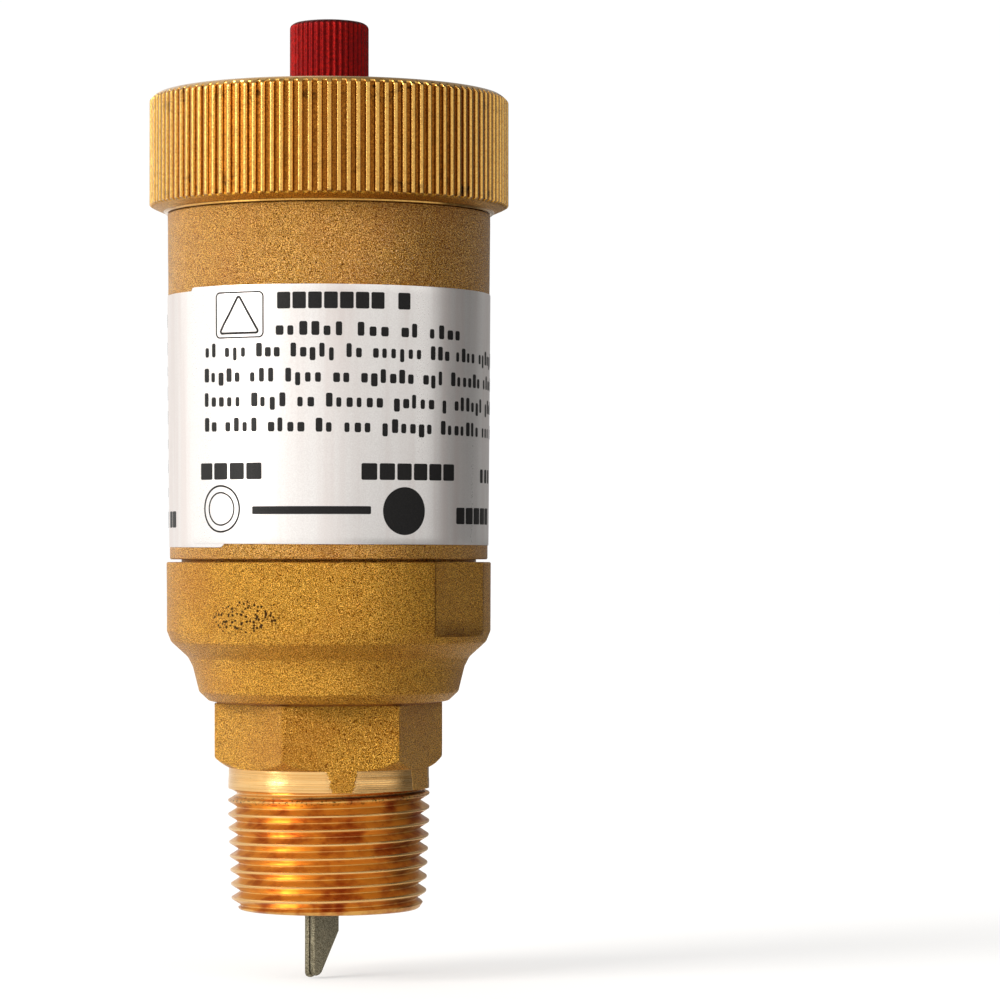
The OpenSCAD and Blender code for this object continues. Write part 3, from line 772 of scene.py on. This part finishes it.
class Mat:
    """A material under construction, with short names for the nodes it takes."""

    def __init__(self, name, **inputs):
        self.m = bpy.data.materials.new(name)
        self.m.use_nodes = True
        self.t = self.m.node_tree
        self.b = self.t.nodes["Principled BSDF"]
        self.coord = None
        self.out(**inputs)

    def out(self, **sockets):
        for key, value in sockets.items():
            wire(self.t, value, self.b.inputs[key.replace("_", " ")])
        return self.m

    def skin(self, colour, rough, normal, coat=None):
        """Puts the results in place, with a clear coat of that weight if one is given."""
        self.out(Base_Color=colour, Roughness=rough, Normal=normal)
        return self.m if coat is None else self.out(Coat_Normal=normal, Coat_Weight=coat)

    def new(self, kind, inputs=None, **props):
        return add_node(self.t, kind, inputs, **props)

    def mm(self, stretch=(1.0, 1.0, 1.0)):
        """The piece's own coordinates, in millimetres, times stretch."""
        if self.coord is None:
            self.coord = self.new("ShaderNodeTexCoord").outputs["Object"]
        inputs = {0: self.coord, 1: [s / MM for s in stretch]}
        return self.new("ShaderNodeVectorMath", inputs, operation="MULTIPLY").outputs[0]

    def noise(self, scale, detail=2.0, rough=0.5, stretch=(1.0, 1.0, 1.0)):
        inputs = {"Scale": scale, "Detail": detail, "Roughness": rough, "Vector": self.mm(stretch)}
        return self.new("ShaderNodeTexNoise", inputs).outputs["Fac"]

    def cells(self, scale):
        """Distance to the nearest of scattered points."""
        inputs = {"Scale": scale, "Vector": self.mm()}
        return self.new("ShaderNodeTexVoronoi", inputs, feature="F1").outputs["Distance"]

    def rings(self, r, scale):
        """Turning marks: noise along the radius alone."""
        inputs = {"Scale": scale, "Detail": 3.0, "W": r}
        return self.new("ShaderNodeTexNoise", inputs, noise_dimensions="1D").outputs["Fac"]

    def math(self, op, *values):
        return math_node(self.t, op, *values)

    def times(self, a, b):
        return self.math("MULTIPLY", a, b)

    def plus(self, a, b):
        return self.math("ADD", a, b)

    def minus(self, a, b):
        return self.math("SUBTRACT", a, b)

    def remap(self, value, a, b, c=0.0, d=1.0):
        return map_range(self.t, value, a, b, c, d)

    def near(self, value, centre, outer, inner):
        """1 within inner of the centre, 0 beyond outer."""
        return self.remap(self.math("ABSOLUTE", self.minus(value, centre)), outer, inner)

    def mix(self, fac, a, b):
        return self.new("ShaderNodeMix", {0: fac, 6: a, 7: b}, data_type="RGBA").outputs[2]

    def blend(self, fac, a, b):
        return self.new("ShaderNodeMix", {0: fac, 2: a, 3: b}, data_type="FLOAT").outputs[0]

    def attribute(self, name):
        return self.new("ShaderNodeAttribute", attribute_name=name).outputs["Fac"]

    def radius(self):
        """Distance from the part's axis, height, x and y, in mm."""
        x, y, z = self.new("ShaderNodeSeparateXYZ", {0: self.mm()}).outputs
        return self.math("SQRT", self.plus(self.times(x, x), self.times(y, y))), z, x, y

    def bump(self, height, distance, strength=1.0):
        inputs = {"Distance": distance * MM, "Strength": strength, "Height": height}
        return self.new("ShaderNodeBump", inputs).outputs["Normal"]


def rgb(r, g, b):
    """sRGB 0..255 to a linear colour."""

    def lin(c):
        c /= 255
        return c / 12.92 if c <= 0.04045 else ((c + 0.055) / 1.055) ** 2.4

    return (lin(r), lin(g), lin(b), 1.0)


# ---------------------------------------------------------------- materials
GOLD_BRIGHT = rgb(253, 196, 82)
GOLD = rgb(222, 148, 34)
GOLD_DARK = rgb(128, 74, 8)
GOLD_RED = rgb(160, 88, 28)
STAIN = rgb(48, 26, 8)


def blasted(mat):
    """Colour, roughness, height and glints of a shot-blasted brass skin."""
    grain = mat.noise(8.0, 2.0, 0.75)
    fine = mat.noise(12.5, 1.0, 0.6)
    slow = mat.noise(0.09, 3.0, 0.55)
    colour = mat.mix(mat.remap(grain, 0.42, 0.58), GOLD_DARK, GOLD)
    colour = mat.mix(mat.remap(fine, 0.52, 0.57), colour, GOLD_BRIGHT)
    colour = mat.mix(mat.remap(fine, 0.48, 0.42), colour, STAIN)
    colour = mat.mix(mat.remap(slow, 0.4, 0.75, 0.0, 0.3), colour, GOLD_RED)
    rough = mat.remap(fine, 0.4, 0.66, 0.48, 0.3)
    height = mat.plus(mat.times(grain, 0.7), mat.times(fine, 0.3))
    return colour, rough, height, mat.remap(fine, 0.5, 0.58)


def make_forged():
    mat = Mat("forged_brass_blasted", Metallic=1.0, Coat_IOR=2.2, Coat_Roughness=0.14)
    colour, rough, height, glints = blasted(mat)
    return mat.skin(colour, rough, mat.bump(height, 0.26), mat.times(glints, 0.8))


def smudge(mat, theta, z):
    """A worn oval patch of scattered ink dots on the bell, with no figure or letter in it."""
    up = mat.math("DIVIDE", mat.minus(z, 38.1), 2.6)
    across = mat.math("DIVIDE", mat.plus(theta, 30.6), 16.0)
    off = mat.plus(mat.times(up, up), mat.times(across, across))
    size = mat.remap(off, 0.4, 1.1, 0.37, 0.02)
    dots = mat.remap(mat.minus(mat.cells(2.0), size), 0.04, -0.04)
    return mat.times(dots, 0.95)


def turned_tone(mat, r, z, x, lines):
    """Colour and roughness of the thread, its run-out groove and the turned neck."""
    crest_r = mat.math("MULTIPLY_ADD", z, THREAD_TAPER, THREAD_R)
    run = mat.minus(z, mat.times(mat.math("DIVIDE", x, r), RUN_OUT_RISE))
    crest = mat.remap(mat.minus(r, crest_r), -0.14, -0.03)
    crest = mat.math("MAXIMUM", crest, mat.remap(run, 15.1, 15.3))
    # crests and neck take the light turned tone; on the thread's crests it is partly painted highlight
    # along the crest lines
    bright = mat.mix(mat.remap(lines, 0.35, 0.65), rgb(224, 170, 100), rgb(242, 198, 132))
    patches = mat.remap(mat.noise(0.3, 4.0, 0.6), 0.42, 0.7)
    flank = mat.mix(patches, rgb(224, 170, 90), rgb(176, 100, 50))
    tone = mat.mix(crest, flank, bright)
    # pits, more of them beside the groove
    more = mat.times(mat.near(run, 14.6, 0.7, 0.4), 0.12)
    pits = mat.remap(mat.plus(mat.noise(2.2, 4.0, 0.75), more), 0.65, 0.71)
    tone = mat.mix(mat.times(pits, 0.8), tone, STAIN)
    # painted shade in the run-out groove under the neck's edge, darker towards the right
    groove = mat.times(mat.near(run, 14.99, 0.2, 0.08), mat.remap(x, -10.0, 0.0, 0.15, 0.8))
    tone = mat.mix(groove, tone, rgb(62, 26, 10))
    wear = mat.remap(mat.noise(1.3, 3.0, 0.6), 0.3, 0.7, 0.0, 0.08)
    return tone, mat.plus(wear, mat.blend(crest, 0.28, 0.15))


def make_lower():
    """Blasted skin, and turned brass where the tool has been."""
    mat = Mat("forged_brass_and_turned", Metallic=1.0, Coat_IOR=2.2, Coat_Roughness=0.2)
    colour, rough, height, glints = blasted(mat)
    ragged = mat.math("MULTIPLY_ADD", mat.noise(2.4, 4.0, 0.7), 0.8, -0.4)
    turned = mat.remap(mat.plus(mat.attribute("turned"), ragged), 0.42, 0.58)
    lines = mat.noise(1.0, 4.0, 0.7, stretch=(0.05, 0.05, 9.0))
    r, z, x, y = mat.radius()
    tone, t_rough = turned_tone(mat, r, z, x, lines)
    # shade in the undercut above the hexagon
    colour = mat.mix(mat.times(mat.near(z, 26.9, 0.3, 0.08), 0.6), colour, rgb(110, 50, 14))
    # shade along the wrench flats' edges and above their ledges
    theta = mat.times(mat.math("ARCTAN2", x, mat.times(y, -1.0)), DEGREES)
    from_flat = mat.minus(mat.math("MODULO", mat.plus(theta, 395.0), 180.0), 90.0)
    from_flat = mat.math("ABSOLUTE", from_flat)
    on_bell = mat.times(mat.remap(z, 35.4, 35.8), mat.remap(z, 45.0, 44.6))
    edge = mat.times(mat.near(from_flat, 15.3, 0.55, 0.2), on_bell)
    ledge = mat.times(mat.remap(from_flat, 15.4, 14.8), mat.times(on_bell, mat.remap(z, 38.4, 35.7)))
    marks = mat.math("MAXIMUM", mat.times(edge, 0.6), mat.times(ledge, 0.45))
    colour = mat.mix(marks, colour, rgb(64, 34, 8))
    colour = mat.mix(smudge(mat, theta, z), colour, STAIN)
    colour = mat.mix(turned, colour, tone)
    rough = mat.blend(turned, rough, t_rough)
    normal = mat.bump(mat.blend(turned, height, mat.times(lines, 0.06)), 0.26)
    return mat.skin(colour, rough, normal, mat.times(glints, mat.blend(turned, 0.14, 0.1)))


def make_knurled():
    """Bright ridges, redder grooves, dirt in places, and a blasted underside."""
    mat = Mat("knurled_brass", Metallic=1.0, Coat_IOR=1.5, Coat_Roughness=0.14)
    r, z, _, _ = mat.radius()
    flat = mat.math("MAXIMUM", mat.remap(z, 90.76, 90.72), mat.remap(z, 105.3, 105.5))
    ridge = mat.math("MAXIMUM", mat.remap(r, 23.06, 23.3), flat)
    grain = mat.noise(5.0, 3.0, 0.6)
    wear = mat.noise(0.8, 3.0, 0.6)
    groove = mat.mix(mat.remap(grain, 0.36, 0.64), rgb(112, 62, 16), rgb(160, 100, 32))
    crest = mat.mix(mat.remap(grain, 0.3, 0.6), rgb(184, 130, 48), rgb(212, 166, 82))
    colour = mat.mix(ridge, groove, crest)
    # dirt gathers in the grooves and towards the knurl's ends
    ends = mat.remap(mat.math("ABSOLUTE", mat.minus(z, 98.4)), 3.0, 6.5, 0.25, 1.0)
    dirt = mat.remap(mat.noise(0.45, 4.0, 0.65), 0.55, 0.67)
    dirt = mat.times(dirt, mat.remap(ridge, 1.0, 0.0, 0.35, 1.0))
    dirt = mat.times(mat.times(dirt, ends), mat.blend(flat, 1.0, 0.25))
    colour = mat.mix(dirt, colour, STAIN)
    ridge_rough = mat.remap(wear, 0.3, 0.7, 0.13, 0.24)
    rough = mat.blend(ridge, mat.remap(grain, 0.3, 0.7, 0.42, 0.3), ridge_rough)
    # the conical underside is as forged
    b_colour, b_rough, b_height, _ = blasted(mat)
    under = mat.times(mat.remap(z, 91.6, 91.45), mat.remap(z, 90.72, 90.76))
    colour = mat.mix(under, colour, b_colour)
    rough = mat.blend(under, rough, b_rough)
    height = mat.blend(under, mat.times(grain, 0.35), b_height)
    height = mat.blend(mat.times(flat, 0.8), height, mat.rings(r, 5.0))
    return mat.skin(colour, rough, mat.bump(height, 0.07, 0.5), mat.times(ridge, 0.55))


def make_turned():
    mat = Mat("turned_brass", Metallic=1.0)
    lines = mat.noise(1.0, 3.0, 0.6, stretch=(0.1, 0.1, 11.0))
    wear = mat.noise(1.0, 3.0, 0.6)
    colour = mat.mix(mat.remap(lines, 0.35, 0.65), rgb(226, 172, 92), rgb(244, 204, 130))
    colour = mat.mix(mat.remap(wear, 0.5, 0.8, 0, 0.4), colour, GOLD_DARK)
    rough = mat.remap(wear, 0.3, 0.7, 0.18, 0.3)
    return mat.skin(colour, rough, mat.bump(lines, 0.02, 0.5))


def make_steel():
    mat = Mat("stainless_strip", Metallic=1.0)
    grain = mat.noise(7.0, 3.0, 0.6)
    lines = mat.noise(1.0, 3.0, 0.6, stretch=(12.0, 12.0, 0.3))
    specks = mat.remap(mat.noise(9.0, 2.0, 0.6), 0.62, 0.7)
    colour = mat.mix(mat.remap(grain, 0.38, 0.62), rgb(92, 86, 68), rgb(162, 155, 131))
    colour = mat.mix(specks, colour, rgb(60, 54, 40))
    height = mat.plus(mat.times(grain, 0.6), mat.times(lines, 0.4))
    rough = mat.remap(grain, 0.3, 0.7, 0.3, 0.5)
    return mat.skin(colour, rough, mat.bump(height, 0.04, 0.5))


def make_foil():
    mat = Mat("label_foil", Metallic=0.75)
    fleck = mat.noise(6.0, 2.0, 0.6)
    bands = mat.noise(0.22, 3.0, 0.6, stretch=(1.0, 1.0, 0.04))
    colour = mat.mix(mat.remap(fleck, 0.3, 0.7), rgb(224, 220, 218), rgb(234, 231, 229))
    colour = mat.mix(mat.remap(bands, 0.42, 0.66, 0, 0.6), colour, rgb(212, 200, 196))
    rough = mat.remap(bands, 0.35, 0.65, 0.27, 0.34)
    rough = mat.plus(mat.remap(fleck, 0.3, 0.7, 0.0, 0.03), rough)
    return mat.skin(colour, rough, mat.bump(mat.noise(0.5, 2.0, 0.5), 0.02, 0.3))


def make_ink():
    mat = Mat("label_ink", Metallic=0.0, Specular_IOR_Level=0.25)
    fleck = mat.noise(7.0, 3.0, 0.6)
    colour = mat.mix(mat.remap(fleck, 0.4, 0.65), rgb(7, 6, 6), rgb(24, 22, 22))
    return mat.skin(colour, mat.remap(fleck, 0.3, 0.7, 0.4, 0.55), mat.bump(fleck, 0.01, 0.3))


def make_red():
    mat = Mat("red_moulded_plastic", Metallic=0.7, Specular_IOR_Level=0.12)
    mottle = mat.noise(2.4, 3.0, 0.6)
    slow = mat.noise(0.35, 2.0, 0.5)
    colour = mat.mix(mat.remap(mottle, 0.38, 0.64), rgb(98, 8, 7), rgb(134, 13, 10))
    colour = mat.mix(mat.remap(slow, 0.45, 0.7, 0, 0.4), colour, rgb(104, 10, 14))
    # painted reflection: the rim and the top are darker, in place of the dark reflection on the top's
    # rounding
    z = mat.radius()[1]
    colour = mat.mix(mat.remap(z, 114.95, 115.35, 0, 0.75), colour, rgb(40, 6, 8))
    return mat.skin(colour, mat.remap(mottle, 0.3, 0.7, 0.34, 0.5), mat.bump(mottle, 0.03, 0.5))


def plain(name, dark, light, rough, scale, bump=0.02):
    """A quiet material with a mottle of the given scale between two tones and roughnesses."""
    mat = Mat(name, Metallic=0.0)
    mottle = mat.noise(scale, 3.0, 0.6)
    slow = mat.noise(scale * 0.12, 2.0, 0.5)
    colour = mat.mix(mat.remap(mottle, 0.35, 0.65), dark, light)
    colour = mat.mix(mat.remap(slow, 0.4, 0.75, 0, 0.35), colour, dark)
    return mat.skin(colour, mat.remap(mottle, 0.3, 0.7, *rough), mat.bump(mottle, bump, 0.5))


FORGED, LOWER, KNURLED, TURNED = make_forged(), make_lower(), make_knurled(), make_turned()
STEEL, FOIL_SKIN, INK, RED = make_steel(), make_foil(), make_ink(), make_red()
RUBBER = plain("black_rubber", rgb(16, 16, 17), rgb(34, 34, 36), (0.55, 0.75), 4.0)
WHITE = plain("white_moulded_plastic", rgb(207, 205, 197), rgb(221, 220, 213), (0.4, 0.48), 2.0)
FIBRE = plain("red_fibre", rgb(96, 30, 20), rgb(142, 52, 36), (0.6, 0.8), 5.0, bump=0.04)

NEW_PIECES = [
    (lower_body, LOWER), (upper_body, FORGED), (label, FOIL_SKIN), (label_print, INK),
    (knurled_head, KNURLED), (vent_nozzle, TURNED), (vent_cap, RED), (drip_blade, STEEL),
]
for build, material in NEW_PIECES:
    materials = build().data.materials
    materials.clear()
    materials.append(material)

# CAD pieces that keep their own shape
KEPT = {
    STEEL: [
        "blade_retainer", "lever_bracket", "lever_pin", "lever_clip", "stop_pin", "float_lever",
        "float_pin",
    ],
    RUBBER: ["body_gasket", "seat_o_ring", "head_o_ring", "poppet_tip", "shutoff_disc", "cap_seal"],
    TURNED: ["seat_insert", "seat_nut", "valve_poppet", "shutoff_holder"],
    WHITE: ["float_cup", "float_lid"],
    FIBRE: ["nozzle_washer"],
}
for material, names in KEPT.items():
    for name in names:
        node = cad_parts[name]
        if not node.material_slots:
            node.data.materials.append(material)
        for place in node.material_slots:
            place.material = material


# ---------------------------------------------------------------- floor, light, camera
FLOOR_Z = -0.00905  # just under the strip's tip
# socket, value for camera rays, value for other rays left and right of the painted shade's edge
FLOOR_TONES = [("Emission Strength", 0.5, 0.3, 0.04), ("Base Color", 0.54, 0.6, 0.15)]
PAINTED_SHADE_FROM, PAINTED_SHADE_TO = 0.01, 0.1  # x in metres over which the painted shade sets in

# strength, azimuth window, elevation window: degrees where a window starts, is full, ends and is 0
PANELS = [
    (0.03, None, None),
    (1.2, (-150, -120, -50, -45), (-18, 0, 50, 75)),
    (1.2, (-77, -67, -54, -47), (-12, 0, 24, 36)),
    (1.12, (-48, -44, 76, 91), (-30, -10, 50, 70)),
    (0.05, (80, 95, 181, 182), (-20, -5, 60, 75)),
    (0.3, (120, 145, 181, 182), (-20, -5, 60, 75)),
    (0.9, (-182, -181, -155, -125), (-20, -5, 60, 75)),
    (0.7, None, (66, 84, 95, 96)),
]
SUN_AZIMUTH, SUN_ELEVATION, SUN_WIDTH = -62, 24, 30
CAMERA_AT = (0.0, -0.510, 0.046)
CAMERA_UP, CAMERA_LEFT = 0.81, -2.51  # degrees turned upwards, and about the vertical


def floor():
    """A floor that the camera sees white. Other rays see it greyer, with painted shade on the right in
    place of a flag.
    """
    mesh = bpy.data.meshes.new("floor")
    bm = bmesh.new()
    bmesh.ops.create_grid(bm, x_segments=8, y_segments=8, size=3.0)
    bm.to_mesh(mesh)
    bm.free()
    obj = bpy.data.objects.new("floor", mesh)
    obj.location = (0, 0, FLOOR_Z)
    bpy.context.scene.collection.objects.link(obj)
    mat = Mat("floor_white", Roughness=1.0, Specular_IOR_Level=0.0)
    mat.b.inputs["Emission Color"].default_value = (1, 1, 1, 1)
    place = mat.new("ShaderNodeTexCoord").outputs["Object"]
    x = mat.new("ShaderNodeSeparateXYZ", {0: place}).outputs[0]
    seen = mat.new("ShaderNodeLightPath").outputs["Is Camera Ray"]
    for socket, for_camera, left, right in FLOOR_TONES:
        painted_shade = map_range(mat.t, x, PAINTED_SHADE_FROM, PAINTED_SHADE_TO, left, right, kind="LINEAR")
        wire(mat.t, mat.blend(seen, painted_shade, for_camera), mat.b.inputs[socket])
    obj.data.materials.append(mat.m)


def studio():
    """A world of soft panels for every ray but the camera's, which sees plain white."""
    world = bpy.data.worlds.new("studio")
    bpy.context.scene.world = world
    world.use_nodes = True
    t = world.node_tree
    t.nodes.clear()
    direction = add_node(t, "ShaderNodeTexCoord").outputs["Generated"]
    x, y, z = add_node(t, "ShaderNodeSeparateXYZ", {0: direction}).outputs
    # azimuth is 0 towards -Y and grows towards +X
    azimuth = math_node(t, "ARCTAN2", x, math_node(t, "MULTIPLY", y, -1.0))
    azimuth = math_node(t, "MULTIPLY", azimuth, DEGREES)
    elevation = math_node(t, "MULTIPLY", math_node(t, "ARCSINE", z), DEGREES)

    total = None
    for strength, *windows in PANELS:
        part = strength
        for angle, window in zip((azimuth, elevation), windows):
            if window is not None:
                rise = map_range(t, angle, *window[:2])
                fall = map_range(t, angle, *window[2:], 1, 0)
                part = math_node(t, "MULTIPLY", math_node(t, "MULTIPLY", rise, fall), part)
        total = part if total is None else math_node(t, "ADD", total, part)

    def background(colour, strength):
        inputs = {"Color": colour, "Strength": strength}
        return add_node(t, "ShaderNodeBackground", inputs).outputs[0]

    seen = add_node(t, "ShaderNodeLightPath").outputs["Is Camera Ray"]
    panels, white = background((1.0, 0.985, 0.96, 1), total), background((1, 1, 1, 1), 1.02)
    mixed = add_node(t, "ShaderNodeMixShader", {0: seen, 1: panels, 2: white}).outputs[0]
    add_node(t, "ShaderNodeOutputWorld", {"Surface": mixed})


def key_light():
    sun = bpy.data.lights.new("key", "SUN")
    sun.energy = 2.7
    sun.angle = math.radians(SUN_WIDTH)
    sun.color = (1.0, 0.97, 0.92)
    key = bpy.data.objects.new("key", sun)
    bpy.context.scene.collection.objects.link(key)
    az, el = math.radians(SUN_AZIMUTH), math.radians(SUN_ELEVATION)
    towards = Vector((math.sin(az) * math.cos(el), -math.cos(az) * math.cos(el), math.sin(el)))
    key.rotation_mode = "QUATERNION"
    key.rotation_quaternion = towards.to_track_quat("Z", "Y")


def camera():
    data = bpy.data.cameras.new("camera")
    data.sensor_width = 36.0
    data.lens = 140.4
    data.clip_start, data.clip_end = 0.01, 20.0
    cam = bpy.data.objects.new("camera", data)
    bpy.context.scene.collection.objects.link(cam)
    cam.location = CAMERA_AT
    cam.rotation_euler = (math.radians(90 + CAMERA_UP), 0.0, math.radians(CAMERA_LEFT))
    bpy.context.scene.camera = cam


floor()
studio()
key_light()
camera()
bpy.context.scene.view_settings.view_transform = "Standard"
bpy.context.scene.view_settings.look = "None"
